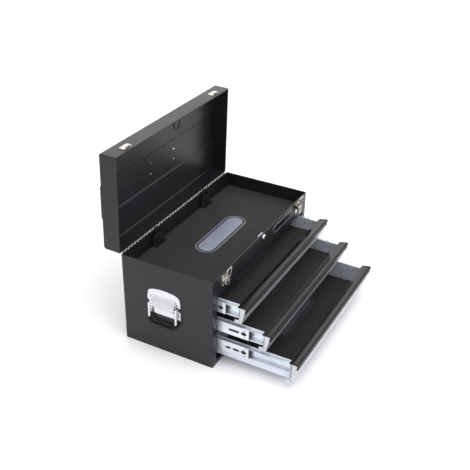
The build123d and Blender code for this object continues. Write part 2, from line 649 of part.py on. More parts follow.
LEVER_FACE_Y = LATCH_PIN_Y - 3.4
for side, sign in SIDES:
    x = sign * LATCH_X
    with BuildPart() as lever:
        with BuildSketch(Plane.XZ.offset(-LEVER_FACE_Y)):
            for mode, wide, narrow, high, bend, low in (
                (Mode.ADD, LEVER_HALF, 3.5, LEVER_TOP, 214, LEVER_TIP),
                (Mode.SUBTRACT, 5, 1.8, 222.5, 215, 209.2),
            ):
                with BuildLine():
                    Polyline((x - wide, high), (x + wide, high), (x + wide, bend), (x + narrow, low),
                             (x - narrow, low), (x - wide, bend), close=True)
                make_face(mode=mode)
        extrude(amount=-1.2)
        for edge in (x - LEVER_HALF, x + LEVER_HALF - 1.2):
            with BuildSketch(Plane.YZ.offset(edge)):
                with BuildLine():
                    Polyline(
                        (LEVER_FACE_Y, LEVER_TOP),
                        (LATCH_PIN_Y + 2.2, LEVER_TOP),
                        (LATCH_PIN_Y + 2.2, LOOP_PIN_Z - 2.4),
                        (LEVER_FACE_Y, LOOP_PIN_Z - 2.4),
                        close=True,
                    )
                make_face()
            extrude(amount=1.2)
        with BuildSketch(Plane.YZ.offset(x - 15)):
            with Locations((LATCH_PIN_Y, LATCH_PIN_Z)):
                Circle(1.2 + RUNNING_GAP)
            with Locations((LOOP_PIN_Y, LOOP_PIN_Z)):
                Circle(LOOP_WIRE_R + RUNNING_GAP)
        extrude(amount=30, mode=Mode.SUBTRACT)
    write(lever, "latch_lever_" + side)

    lean = radians(LOOP_LEAN_DEG)
    loop_plane = Plane(
        origin=(x, LOOP_PIN_Y, LOOP_PIN_Z), x_dir=(1, 0, 0), z_dir=(0, -cos(lean), -sin(lean))
    )
    with BuildPart() as loop:
        with BuildLine(loop_plane):
            wire_path = FilletPolyline(
                (-LOOP_END, 0), (-LOOP_HALF, 0), (-LOOP_HALF, LOOP_HEIGHT),
                (LOOP_HALF, LOOP_HEIGHT), (LOOP_HALF, 0), (LOOP_END, 0), radius=2.2,
            )
        with BuildSketch(Plane(origin=wire_path @ 0, z_dir=wire_path % 0)):
            Circle(LOOP_WIRE_R)
        sweep(path=wire_path)
    write(loop, "latch_loop_" + side)

# ---------------------------------------------------------------- side handles
PLATE_HALF = 45.5
PLATE_LOW = 106.0
PLATE_SHOULDER = 168.0
PLATE_CROWN = 177.0
WAIST_HALF = 38.5
FOOT_TOP = 128.0
HOOD_Z = 158.0
PLATE_SHEET = 1.5
BAIL_PIN_R = 2.4
BARREL_R = 4.8
BARREL_HALF = 33.0


def plate_outline():
    """The handle plate's outline: two feet, a waist beside the barrel and an arched top."""
    half = [(PLATE_HALF - 3, PLATE_SHOULDER), (PLATE_HALF, 146), (PLATE_HALF, 142), (WAIST_HALF, 137),
            (WAIST_HALF, 132), (PLATE_HALF, FOOT_TOP), (PLATE_HALF, PLATE_LOW)]
    left = [(HANDLE_Y - y, z) for y, z in half]
    right = [(HANDLE_Y + y, z) for y, z in reversed(half)]
    with BuildLine() as outline:
        base = Polyline(*left, *right)
        ThreePointArc(base @ 1, (HANDLE_Y, PLATE_CROWN), base @ 0)
    face = make_face(outline.edges())
    shoulders = [face.vertices().sort_by_distance((HANDLE_Y + y, PLATE_SHOULDER))[0]
                 for y in (3 - PLATE_HALF, PLATE_HALF - 3)]
    fillet(shoulders, radius=9)


with BuildPart() as side_handle_plates:
    for sign in (-1, 1):
        with BuildSketch(Plane.YZ.offset(sign * HALF_W)):
            plate_outline()
        extrude(amount=sign * PLATE_SHEET)
        barrel_bottom = HANDLE_PIN_Z - BARREL_R
        side_slab(sign, HALF_W, HANDLE_PIN_X, (HANDLE_Y - BARREL_HALF, HANDLE_Y + BARREL_HALF),
                  (barrel_bottom, barrel_bottom + PLATE_SHEET))
        with BuildSketch(Plane.XZ.offset(-HANDLE_Y - BARREL_HALF)):
            with Locations((sign * HANDLE_PIN_X, HANDLE_PIN_Z)):
                Circle(BARREL_R)
            with BuildLine():
                Polyline(
                    (sign * (HALF_W + 0.2), HOOD_Z),
                    (sign * (HALF_W + PLATE_SHEET + 0.2), HOOD_Z + 1),
                    (sign * (HANDLE_PIN_X + 4.2), HANDLE_PIN_Z + 2.2),
                    (sign * (HANDLE_PIN_X + 2.6), HANDLE_PIN_Z + 2.4),
                    close=True,
                )
            make_face()
        extrude(amount=2 * BARREL_HALF)
        with BuildSketch(Plane.XZ.offset(-HANDLE_Y - BARREL_HALF - 1)):
            with Locations((sign * HANDLE_PIN_X, HANDLE_PIN_Z)):
                Circle(BAIL_PIN_R + RUNNING_GAP)
        extrude(amount=2 * BARREL_HALF + 2, mode=Mode.SUBTRACT)
write(side_handle_plates, "side_handle_plates")

with BuildPart() as side_handle_rivets:
    for sign in (-1, 1):
        with BuildSketch(Plane.YZ.offset(sign * (HALF_W + PLATE_SHEET))):
            for y in (HANDLE_Y - 38, HANDLE_Y + 38):
                with Locations((y, PLATE_LOW + 5), (y, PLATE_SHOULDER - 16)):
                    Circle(3.4)
        extrude(amount=sign * 1.8, taper=22)
write(side_handle_rivets, "side_handle_rivets")

GRIP_Z = 82.0
GRIP_START = -38.0
for side, sign in SIDES:
    bail_plane = Plane(
        origin=(sign * HANDLE_PIN_X, HANDLE_Y, HANDLE_PIN_Z), x_dir=(0, 1, 0), z_dir=(1, 0, 0)
    )
    reach = GRIP_Z - HANDLE_PIN_Z
    with BuildPart() as bail:
        with BuildLine(bail_plane):
            arm_path = FilletPolyline(
                (-BAIL_ARM_Y, 0), (-BAIL_ARM_Y, reach), (BAIL_ARM_Y, reach), (BAIL_ARM_Y, 0), radius=12
            )
        with BuildSketch(Plane(origin=arm_path @ 0, z_dir=arm_path % 0)):
            Circle(3.2)
        sweep(path=arm_path)
        for y in (-BAIL_ARM_Y, BAIL_ARM_Y):
            with Locations((sign * HANDLE_PIN_X, HANDLE_Y + y, HANDLE_PIN_Z)):
                Sphere(3.2)
        pin_in, pin_out = 20.0, BAIL_ARM_Y
        for y in (HANDLE_Y - pin_out, HANDLE_Y + pin_in):
            with BuildSketch(Plane.XZ.offset(-y)):
                with Locations((sign * HANDLE_PIN_X, HANDLE_PIN_Z)):
                    Circle(BAIL_PIN_R)
            extrude(amount=-(pin_out - pin_in))
    write(bail, "side_bail_" + side)

    with BuildPart() as grip:
        with BuildLine(bail_plane):
            grip_path = FilletPolyline(
                (-BAIL_ARM_Y, GRIP_START), (-BAIL_ARM_Y, reach),
                (BAIL_ARM_Y, reach), (BAIL_ARM_Y, GRIP_START),
                radius=12,
            )
        with BuildSketch(Plane(origin=grip_path @ 0, z_dir=grip_path % 0)):
            Circle(4.6)
            Circle(3.2 + RUNNING_GAP, mode=Mode.SUBTRACT)
        sweep(path=grip_path)
    write(grip, "side_grip_" + side)
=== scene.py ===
"""Looks of a portable steel tool chest: lid, top tray and three drawers.

Metres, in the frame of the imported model: +X is the chest's right, -Y its front and +Z up.
"""
from math import atan2, cos, pi, radians, sin

import bmesh
import bpy
from bpy.props import FloatProperty, FloatVectorProperty, IntProperty, PointerProperty
from mathutils import Matrix, Vector


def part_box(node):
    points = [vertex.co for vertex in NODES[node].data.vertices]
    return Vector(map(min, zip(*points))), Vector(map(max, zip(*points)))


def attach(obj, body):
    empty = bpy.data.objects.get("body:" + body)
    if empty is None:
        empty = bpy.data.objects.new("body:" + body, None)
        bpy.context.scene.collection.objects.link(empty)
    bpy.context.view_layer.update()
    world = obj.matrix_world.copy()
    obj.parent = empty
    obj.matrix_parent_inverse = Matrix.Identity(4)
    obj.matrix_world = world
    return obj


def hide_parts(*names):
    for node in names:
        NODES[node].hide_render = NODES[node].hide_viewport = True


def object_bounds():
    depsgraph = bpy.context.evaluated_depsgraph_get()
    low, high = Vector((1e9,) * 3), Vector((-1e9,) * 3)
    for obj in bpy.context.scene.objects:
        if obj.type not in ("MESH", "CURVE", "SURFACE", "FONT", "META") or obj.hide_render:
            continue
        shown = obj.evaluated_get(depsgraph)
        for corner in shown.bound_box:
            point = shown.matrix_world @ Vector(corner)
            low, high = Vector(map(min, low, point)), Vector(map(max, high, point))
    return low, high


bl_info = {
    "name": "Steel tool chest looks",
    "version": (1, 0, 0),
    "blender": (4, 5, 0),
    "location": "View3D > Sidebar > Tool chest",
    "description": "Finishes, mats, handles and fittings for a packed steel tool chest",
    "category": "Object",
}

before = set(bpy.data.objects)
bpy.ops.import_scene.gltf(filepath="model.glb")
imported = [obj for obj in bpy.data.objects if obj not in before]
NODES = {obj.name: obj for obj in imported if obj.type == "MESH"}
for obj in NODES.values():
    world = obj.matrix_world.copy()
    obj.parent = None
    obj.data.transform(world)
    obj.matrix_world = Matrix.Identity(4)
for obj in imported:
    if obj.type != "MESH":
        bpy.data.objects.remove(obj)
cad_low, cad_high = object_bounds()
MM = 0.001
SIDES = (("left", -1), ("right", 1))
DRAWERS = (1, 2, 3)

# Places on the chest, in millimetres and degrees.
LATCH_X = 197            # each latch, from the middle
ROD_GUIDE_X = 116        # each rod guide, from the middle
HINGE_Y, HINGE_Z = 124.6, 238.7
LID_OPEN = 88.6          # how far the lid stands open in the frame

# Limits of the shape functions.
STRAIGHT = 1e-3          # radians from straight, below which a corner isn't rounded
NO_LENGTH = 1e-9         # metres
SAME_POINT = 1e-7        # metres; closer points are joined
MITRE = 0.4              # the least cosine that inset() divides by at a sharp corner
NOISE_RANGE = {"From Min": 0.3, "From Max": 0.7}   # where nearly all of a noise's values lie
SPECULAR = "Specular IOR Level"


def linear(code):
    """An sRGB hex colour as linear red, green and blue."""
    channels = [int(code[i:i + 2], 16) / 255 for i in (1, 3, 5)]
    return tuple(c / 12.92 if c <= 0.04045 else ((c + 0.055) / 1.055) ** 2.4 for c in channels)


# ------------------------------------------------------------------ what a user may change
def colour(name, description, code):
    return FloatVectorProperty(name=name, description=description, default=linear(code),
                               subtype="COLOR", size=3, min=0, max=1)


def length(name, description, millimetres):
    return FloatProperty(name=name, description=description, default=millimetres * MM,
                         unit="LENGTH", subtype="DISTANCE", min=0)


class ChestFinishes(bpy.types.PropertyGroup):
    """Colours of the paint, plating, plastics and foam."""
    paint: colour("Powder coat", "Charcoal powder coat of the cabinet and lid", "#161519")
    paint_light: colour("Powder coat, light flecks", "Paler flecks in the powder coat", "#201f24")
    zinc: colour("Zinc plate", "Bright zinc on drawers and slides", "#c4ccd6")
    zinc_light: colour("Zinc plate, light patches", "Paler crystals in the zinc", "#eef3f8")
    pan: colour("Satin zinc", "Satin zinc of the drawer pans", "#d3d7e6")
    pan_light: colour("Satin zinc, light patches", "Paler patches in the satin zinc", "#e9ecf6")
    chrome: colour("Chrome plate", "Chrome of the side handles", "#e6e7ea")
    nickel: colour("Nickel plate", "Warm nickel of latches, catches and bases", "#f6f2ea")
    plastic: colour("Pull plastic", "Black ABS of the drawer pulls", "#0c0b0c")
    sleeve: colour("Grip vinyl", "Black vinyl of the handle sleeves", "#060607")
    foam: colour("Mat foam", "Charcoal EVA foam of the mats", "#212022")
    ink: colour("Mat print", "Silver-grey ink printed on the mats", "#8d92a2")
    floor: colour("Studio floor", "Pale floor under the chest", "#f7f7f8")


class ChestSizes(bpy.types.PropertyGroup):
    """Sizes of the pieces added round the frame."""
    mat_edge: length("Mat edge", "Rounding of the mats' top edges", 1.2)
    print_length: length("Print length", "Length of the blank label printed on each mat", 200)
    print_width: length("Print width", "Width of the blank label printed on each mat", 58)
    print_line: length("Print line", "Width of the label's outline", 2.4)
    badge_length: length("Badge length", "Length of the blank badge on the fascia", 110)
    badge_width: length("Badge width", "Height of the blank badge on the fascia", 20)
    rivet: length("Rivet head", "Diameter of a small rivet head", 4.6)
    balls: IntProperty(name="Balls", description="Balls in each row of a slide's cage",
                       default=6, min=2, max=12)


# ------------------------------------------------------------------ materials
def add(tree, kind, values=None, links=None, **settings):
    """Adds one node with its settings, its sockets' values and the links into it."""
    node = tree.nodes.new(kind)
    for name, value in settings.items():
        setattr(node, name, value)
    for socket, value in (values or {}).items():
        node.inputs[socket].default_value = value
    for socket, source in (links or {}).items():
        tree.links.new(source, node.inputs[socket])
    return node


def rgba(rgb):
    return tuple(rgb) + (1.0,)


def surface(name, dark, light, patch, grain, depth, rough, stretch=(1, 1, 1), blend=0.5, edge=0.0,
            edge_highlight=None, **shader):
    """A material whose colour drifts between dark and light over `patch` metres, with a grain of
    `grain` metres that is `depth` metres deep. rough is the lowest and highest roughness, stretch
    squeezes the pattern along x, y and z, and blend is the grain's share of the colour. Edges are
    rounded over `edge` metres for the light; the last colour, when given, is a painted highlight laid
    along them."""
    material = bpy.data.materials.new(name)
    material.use_nodes = True
    material.diffuse_color = rgba(light)
    tree = material.node_tree
    tree.nodes.clear()
    place = add(tree, "ShaderNodeTexCoord").outputs["Object"]
    run = add(tree, "ShaderNodeMapping", {"Scale": stretch}, {"Vector": place}).outputs["Vector"]
    patches = add(tree, "ShaderNodeTexNoise", {"Scale": 1 / patch, "Detail": 4.0, "Roughness": 0.6},
                  {"Vector": run})
    flecks = add(tree, "ShaderNodeTexNoise", {"Scale": 1 / grain, "Detail": 2.0, "Roughness": 0.55},
                 {"Vector": run})
    share = add(tree, "ShaderNodeMix", {"Factor": blend}, {"A": patches.outputs["Fac"],
                "B": flecks.outputs["Fac"]}, data_type="FLOAT").outputs["Result"]
    spread = add(tree, "ShaderNodeMapRange", NOISE_RANGE, {"Value": share}).outputs["Result"]
    tint = add(tree, "ShaderNodeMix", None, {"Factor": spread}, data_type="RGBA")
    tint.inputs["A"].default_value = rgba(dark)
    tint.inputs["B"].default_value = rgba(light)
    base = tint.outputs["Result"]
    gloss = add(tree, "ShaderNodeMapRange", {**NOISE_RANGE, "To Min": rough[0], "To Max": rough[1]},
                {"Value": patches.outputs["Fac"]}).outputs["Result"]
    relief = add(tree, "ShaderNodeBump", {"Strength": 1.0, "Distance": depth},
                 {"Height": flecks.outputs["Fac"]})
    if edge:
        soft = add(tree, "ShaderNodeBevel", {"Radius": edge}, samples=4)
        tree.links.new(soft.outputs["Normal"], relief.inputs["Normal"])
        # Painted highlight: a lighter colour blended in along the edges, where the rounded normal turns
        # away from the flat one.
        if edge_highlight:
            flat = add(tree, "ShaderNodeNewGeometry").outputs["Normal"]
            bend = add(tree, "ShaderNodeVectorMath", None, {0: soft.outputs["Normal"], 1: flat},
                       operation="DOT_PRODUCT")
            edge_highlight_mask = add(tree, "ShaderNodeMapRange", {"From Min": 0.99, "From Max": 0.8},
                      {"Value": bend.outputs["Value"]}).outputs["Result"]
            edge_highlight_share = add(tree, "ShaderNodeMath", None, {0: edge_highlight_mask, 1: spread}, operation="MULTIPLY")
            edge_highlight_mix = add(tree, "ShaderNodeMix", None, {"Factor": edge_highlight_share.outputs["Value"], "A": base},
                        data_type="RGBA")
            edge_highlight_mix.inputs["B"].default_value = rgba(edge_highlight)
            base = edge_highlight_mix.outputs["Result"]
    body = add(tree, "ShaderNodeBsdfPrincipled", shader,
               {"Base Color": base, "Roughness": gloss, "Normal": relief.outputs["Normal"]})
    add(tree, "ShaderNodeOutputMaterial", None, {"Surface": body.outputs["BSDF"]})
    return material


FINISH = {}


def make_finishes(looks):
    """Every material, once."""
    # Polyester powder coat on steel, sprayed and baked: satin black-charcoal with fine orange peel.
    # The real peel is about 0.4 mm across; it is drawn at 1.6 mm so that it shows.
    # The paint's edges are given a lighter colour, a painted highlight along every edge.
    FINISH["paint"] = surface(
        "powder_coated_steel_satin", looks.paint, looks.paint_light, patch=110 * MM, grain=1.6 * MM,
        depth=0.012 * MM, rough=(0.34, 0.42), edge=0.7 * MM, edge_highlight=linear("#4c4c50"),
        **{SPECULAR: 0.38})
    # Bright zinc plate, blue passivated, on rolled steel sheet: cool grey with long faint rolling lines.
    # The real lines are about 0.2 mm apart; they are drawn 2 mm apart.
    rolled = {"grain": 2.0 * MM, "depth": 0.003 * MM, "stretch": (0.12, 0.12, 1), "blend": 0.35,
              "edge": 0.4 * MM}
    FINISH["zinc"] = surface("zinc_plated_steel_bright", looks.zinc, looks.zinc_light,
                             patch=50 * MM, rough=(0.26, 0.36), Metallic=0.85, **rolled)
    # The same plate left satin on the drawer pans: bluer and more even.
    FINISH["zinc_satin"] = surface("zinc_plated_steel_satin", looks.pan, looks.pan_light,
                                   patch=60 * MM, rough=(0.42, 0.52), Metallic=0.45, **rolled)
    # The same plate on the folded drawer fronts: neutral and duller than on the slides.
    FINISH["zinc_front"] = surface("zinc_plated_steel_fronts", linear("#b9bcc2"), linear("#d6d8dc"),
                                   patch=60 * MM, rough=(0.34, 0.44), Metallic=0.6, **rolled)
    # Chrome plate on pressed steel, polished: mirror-like with a faint haze from the pressing, whose
    # waves are some 12 mm long. Polishing marks of a few hundredths are drawn 1.2 mm apart.
    FINISH["chrome"] = surface(
        "chrome_plated_steel_polished", linear("#c9cbd0"), looks.chrome, patch=12 * MM,
        grain=1.2 * MM, depth=0.002 * MM, rough=(0.12, 0.22), edge=0.6 * MM, Metallic=1.0)
    # Nickel plate on small stampings: a little warmer than chrome, a little dulled by handling.
    # Tumbling marks of about 0.1 mm are drawn at 0.8 mm.
    FINISH["nickel"] = surface(
        "nickel_plated_steel_warm", linear("#a39c8f"), looks.nickel, patch=6 * MM,
        grain=0.8 * MM, depth=0.002 * MM, rough=(0.12, 0.26), edge=0.3 * MM, Metallic=1.0)
    # ABS, extruded in black: glossy satin with faint lengthwise draw lines, drawn 1.5 mm apart to show.
    FINISH["plastic"] = surface(
        "abs_black_extruded_satin", looks.plastic, linear("#141314"), patch=40 * MM,
        grain=1.5 * MM, depth=0.003 * MM, rough=(0.12, 0.2), stretch=(0.08, 1, 1), blend=0.6,
        edge=0.6 * MM, **{SPECULAR: 0.3})
    # Vinyl dipped over a steel bail: black and slightly soft-looking, with sags of about 1 mm.
    FINISH["sleeve"] = surface(
        "vinyl_black_dipped", looks.sleeve, linear("#0b0b0c"), patch=10 * MM,
        grain=1.0 * MM, depth=0.01 * MM, rough=(0.36, 0.46), **{SPECULAR: 0.2})
    # Closed-cell EVA foam, cut from sheet: dull, with open cells. Real cells are 0.3 mm, drawn at 1.4 mm.
    FINISH["foam"] = surface(
        "eva_foam_charcoal_cut", looks.foam, linear("#2b2a2b"), patch=50 * MM,
        grain=1.4 * MM, depth=0.10 * MM, rough=(0.70, 0.85), **{SPECULAR: 0.3, "Sheen Weight": 0.05})
    # Screen-printed ink on foam: thin silver-grey film that lets the foam's cells show.
    FINISH["ink"] = surface(
        "screen_ink_silver_grey", linear("#6f7484"), looks.ink, patch=20 * MM,
        grain=1.4 * MM, depth=0.05 * MM, rough=(0.5, 0.65), **{SPECULAR: 0.4})
    # The same ink printed thin on the drawer mats: barely paler than the foam.
    FINISH["ink_faint"] = surface(
        "screen_ink_grey_faint", linear("#3a3b43"), linear("#565965"), patch=20 * MM,
        grain=1.4 * MM, depth=0.05 * MM, rough=(0.5, 0.65), **{SPECULAR: 0.3})
    # Silver paint on the badge's moulded frame, a little worn. Its flakes are far finer than the
    # 1 mm at which they are drawn.
    FINISH["ink_rim"] = surface(
        "badge_silver_paint_worn", linear("#6a6d78"), linear("#a3a7b3"), patch=12 * MM,
        grain=1.0 * MM, depth=0.004 * MM, rough=(0.3, 0.45), blend=0.6, Metallic=0.3)
    # Black oxide on spring wire and lock parts: nearly black, oily satin, with drawing marks of
    # about 0.1 mm that are drawn at 0.8 mm.
    FINISH["oxide"] = surface(
        "black_oxide_steel", linear("#050506"), linear("#0b0b0c"), patch=10 * MM,
        grain=0.8 * MM, depth=0.002 * MM, rough=(0.28, 0.4), **{SPECULAR: 0.2})
    # Acetal bumper moulding: black and smooth, with the mould's 1 mm ripple.
    FINISH["bumper"] = surface(
        "acetal_black_moulded", linear("#0b0b0c"), linear("#121213"), patch=10 * MM,
        grain=1.0 * MM, depth=0.002 * MM, rough=(0.4, 0.5), edge=0.4 * MM)


# Which of the frame's nodes takes which finish.
CAD_FINISH = {
    "paint": ("left_side_panel", "right_side_panel", "back_panel", "bottom_panel", "front_fascia",
              "tray_floor", "slide_uprights", "rod_guides", "lid_shell", "lock_rod_left",
              "lock_rod_right", "top_handle_saddles", "hinge_body_leaf"),
    "zinc_satin": ("drawer_pan_1", "drawer_pan_2", "drawer_pan_3"),
    "zinc_front": ("drawer_front_1", "drawer_front_2", "drawer_front_3"),
    "zinc": ("drawer_slides_1", "drawer_slides_2", "drawer_slides_3",
             "middle_slides_1", "middle_slides_2", "middle_slides_3", "cabinet_slides", "lock_cam"),
    "chrome": ("side_bail_left", "side_bail_right", "lock_barrel", "lock_plug", "top_handle_bail",
               "top_handle_rivets", "latch_loop_left", "latch_loop_right", "hinge_lid_leaf"),
    "nickel": ("latch_bases", "latch_lever_left", "latch_lever_right", "lid_catches", "hinge_pin"),
    "plastic": ("drawer_grip_1", "drawer_grip_2", "drawer_grip_3", "top_handle_grip"),
    "sleeve": ("side_grip_left", "side_grip_right"),
    "oxide": ("lid_strike", "lock_nut"),
    "bumper": ("slide_bumpers_1", "slide_bumpers_2", "slide_bumpers_3"),
}


# ------------------------------------------------------------------ shapes
def rounded(points, radius, steps=6):
    """A closed outline with its corners rounded, as (x, y) pairs; radius is one or one per corner."""
    made = []
    count = len(points)
    for i, corner in enumerate(points):
        here = Vector(corner)
        before, after = Vector(points[i - 1]) - here, Vector(points[(i + 1) % count]) - here
        r = radius[i] if isinstance(radius, (list, tuple)) else radius
        half = before.angle(after) / 2
        if r <= 0 or abs(half - pi / 2) < STRAIGHT:
            made.append(here)
            continue
        reach = r / abs(sin(half) / cos(half))
        start, end = here + before.normalized() * reach, here + after.normalized() * reach
        centre = here + (before.normalized() + after.normalized()).normalized() * (r / sin(half))
        a0 = atan2(start.y - centre.y, start.x - centre.x)
        a1 = atan2(end.y - centre.y, end.x - centre.x)
        turn = (a1 - a0 + pi) % (2 * pi) - pi
        for k in range(steps + 1):
            a = a0 + turn * k / steps
            made.append(centre + Vector((cos(a), sin(a))) * r)
    return made


def stadium(long, wide, steps=20, centre=(0, 0)):
    """A slot-shaped outline, counter-clockwise."""
    r, half = wide / 2, (long - wide) / 2
    points = []
    for x, start in ((half, -pi / 2), (-half, pi / 2)):
        for k in range(steps + 1):
            a = start + pi * k / steps
            points.append(Vector((centre[0] + x + r * cos(a), centre[1] + r * sin(a))))
    return points


def oblong(x0, y0, x1, y1):
    """The corners of a rectangle, counter-clockwise."""
    return [(x0, y0), (x1, y0), (x1, y1), (x0, y1)]


def inset(points, amount):
    """The outline moved in by amount, point by point; the outline runs counter-clockwise."""
    count = len(points)
    moved = []
    for i, p in enumerate(points):
        before, after = (p - points[i - 1]), (points[(i + 1) % count] - p)
        inward = Vector((0, 0))
        for side in (before, after):
            if side.length > NO_LENGTH:
                inward += Vector((-side.y, side.x)).normalized()
        inward.normalize()
        spare = 1.0
        if before.length > NO_LENGTH:
            spare = max(MITRE, inward.dot(Vector((-before.y, before.x)).normalized()))
        moved.append(p + inward * (amount / spare))
    return moved


def ring_of(bm, points, height, place):
    """The outline's points as vertices at one height."""
    return [bm.verts.new(place @ Vector((p.x, p.y, height))) for p in points]


def bridge(bm, a, b):
    """Quads between two rings of the same length."""
    count = len(a)
    for i in range(count):
        j = (i + 1) % count
        bm.faces.new((a[i], a[j], b[j], b[i]))


def layered(bm, outline, steps, place, hole=None):
    """A slab built ring by ring: steps are (inset, height) pairs from its back to its face. With a
    hole, both outlines run the same way round."""
    rings = [ring_of(bm, inset(outline, d), h, place) for d, h in steps]
    for a, b in zip(rings, rings[1:]):
        bridge(bm, a, b)
    if hole is None:
        bm.faces.new(list(reversed(rings[0])))
        bm.faces.new(rings[-1])
        return
    inner = [ring_of(bm, inset(hole, -d), h, place) for d, h in steps]
    for a, b in zip(inner, inner[1:]):
        bridge(bm, b, a)
    bridge(bm, inner[0], rings[0])
    bridge(bm, rings[-1], inner[-1])


def edge_steps(thick, radius, count=4):
    """Steps of a slab with a rounded top edge, from its underside up."""
    arc = [(radius * (1 - cos(pi / 2 * k / count)), thick - radius + radius * sin(pi / 2 * k / count))
           for k in range(count + 1)]
    return [(0.0, 0.0)] + arc


def lathe(bm, profile, place, around=20):
    """A turned shape: profile is (radius, height) pairs, closed with caps where the radius is above 0."""
    rings = []
    for r, h in profile:
        if r < SAME_POINT:
            rings.append([bm.verts.new(place @ Vector((0, 0, h)))])
        else:
            rings.append([bm.verts.new(place @ Vector((r * cos(2 * pi * k / around),
                                                       r * sin(2 * pi * k / around), h)))
                          for k in range(around)])
    for a, b in zip(rings, rings[1:]):
        for k in range(around):
            j = (k + 1) % around
            if len(a) == 1 and len(b) > 1:
                bm.faces.new((a[0], b[j], b[k]))
            elif len(b) == 1 and len(a) > 1:
                bm.faces.new((a[k], a[j], b[0]))
            elif len(a) > 1:
                bm.faces.new((a[k], a[j], b[j], b[k]))
    if len(rings[0]) > 1:
        bm.faces.new(list(reversed(rings[0])))
    if len(rings[-1]) > 1:
        bm.faces.new(rings[-1])


def rivet(bm, place, diameter, rise):
    """A domed rivet head standing on the plane of `place`, with a low straight rim."""
    r, rim, rings, around = diameter / 2, 0.35, 5, 16
    dome = []
    for k in range(rings):
        a = pi / 2 * k / rings
        dome.append((r * cos(a), rise * (rim + (1 - rim) * sin(a))))
    root = (r * 0.98, -0.1 * MM)
    lathe(bm, [root, (r, 0.0)] + dome + [(0.0, rise)], place, around)


def piece(name, bm, finish, body, smooth=35):
    """Turns a bmesh into an object that rides on a body; edges under `smooth` degrees are smooth."""
    bmesh.ops.remove_doubles(bm, verts=bm.verts, dist=SAME_POINT)
    bmesh.ops.recalc_face_normals(bm, faces=bm.faces)
    mesh = bpy.data.meshes.new(name)
    bm.to_mesh(mesh)
    bm.free()
    mesh.materials.append(FINISH[finish])
    mesh.shade_smooth()
    mesh.set_sharp_from_angle(angle=radians(smooth))
    made = bpy.data.objects.new(name, mesh)
    bpy.context.scene.collection.objects.link(made)
    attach(made, body)
    return made


def facing(origin, normal, right):
    """A placement whose local z is normal and local x is right, at origin."""
    z = Vector(normal).normalized()
    x = (Vector(right) - z * z.dot(Vector(right))).normalized()
    y = z.cross(x)
    turn = Matrix((x, y, z)).transposed().to_4x4()
    return Matrix.Translation(Vector(origin)) @ turn


def middle(node):
    """The centre of a CAD node's box."""
    low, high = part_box(node)
    return (low + high) / 2


# ------------------------------------------------------------------ operators
class CHEST_OT_finishes(bpy.types.Operator):
    """Makes the paint, plating, plastic and foam, and gives them to the frame's own parts"""
    bl_idname = "chest.finishes"
    bl_label = "Finishes"

    def execute(self, context):
        make_finishes(context.scene.chest_finishes)
        for finish, names in CAD_FINISH.items():
            for name in names:
                mesh = NODES[name].data
                mesh.materials.clear()
                mesh.materials.append(FINISH[finish])
        return {"FINISHED"}


class CHEST_OT_tray_mat(bpy.types.Operator):
    """Cuts the foam mat of the top tray, notched round the lock rods"""
    bl_idname = "chest.tray_mat"
    bl_label = "Tray mat"

    def execute(self, context):
        low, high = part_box("tray_mat")
        notch_half, notch_depth, corner = 23 * MM, 14 * MM, 2.5 * MM
        back = [(high.x, high.y)]
        for side in ("right", "left"):
            x = middle("lock_rod_" + side).x
            back += [(x + notch_half, high.y), (x + notch_half, high.y - notch_depth),
                     (x - notch_half, high.y - notch_depth), (x - notch_half, high.y)]
        corners = [(low.x, low.y), (high.x, low.y)] + back + [(low.x, high.y)]
        bm = bmesh.new()
        outline = rounded(corners, corner)
        thick = high.z - low.z
        layered(bm, outline, edge_steps(thick, context.scene.chest_sizes.mat_edge),
                Matrix.Translation((0, 0, low.z)))
        mat = piece("tray_mat_foam", bm, "foam", "cabinet")
        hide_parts("tray_mat")
        return {"FINISHED"}


class CHEST_OT_drawer_mats(bpy.types.Operator):
    """Cuts the foam mat of each drawer"""
    bl_idname = "chest.drawer_mats"
    bl_label = "Drawer mats"

    def execute(self, context):
        corner, top_edge = 2 * MM, 0.8 * MM
        for i in DRAWERS:
            low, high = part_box(f"drawer_mat_{i}")
            corners = rounded(oblong(low.x, low.y, high.x, high.y), corner)
            bm = bmesh.new()
            layered(bm, corners, edge_steps(high.z - low.z, top_edge),
                    Matrix.Translation((0, 0, low.z)))
            mat = piece(f"drawer_mat_foam_{i}", bm, "foam", f"drawer_{i}")
            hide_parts(f"drawer_mat_{i}")
        return {"FINISHED"}


class CHEST_OT_mat_prints(bpy.types.Operator):
    """Prints a blank label, an outline round a plain bar, on each mat"""
    bl_idname = "chest.mat_prints"
    bl_label = "Mat prints"

    def execute(self, context):
        sizes = context.scene.chest_sizes
        film, film_edge, sunk = 0.25 * MM, 0.1 * MM, 0.05 * MM
        bar_inset = 3 * sizes.print_line
        spots = [("tray", "tray_mat", "cabinet")]
        spots += [(f"drawer_{i}", f"drawer_mat_{i}", f"drawer_{i}") for i in DRAWERS]
        for name, node, body in spots:
            place = Matrix.Translation((0, middle(node).y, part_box(node)[1].z - sunk))
            outer = stadium(sizes.print_length, sizes.print_width)
            bm = bmesh.new()
            steps = edge_steps(film, film_edge, count=2)
            layered(bm, outer, steps, place, hole=inset(outer, sizes.print_line))
            layered(bm, inset(outer, bar_inset), steps, place)
            finish = "ink" if name == "tray" else "ink_faint"
            piece(f"mat_print_{name}", bm, finish, body)
        return {"FINISHED"}


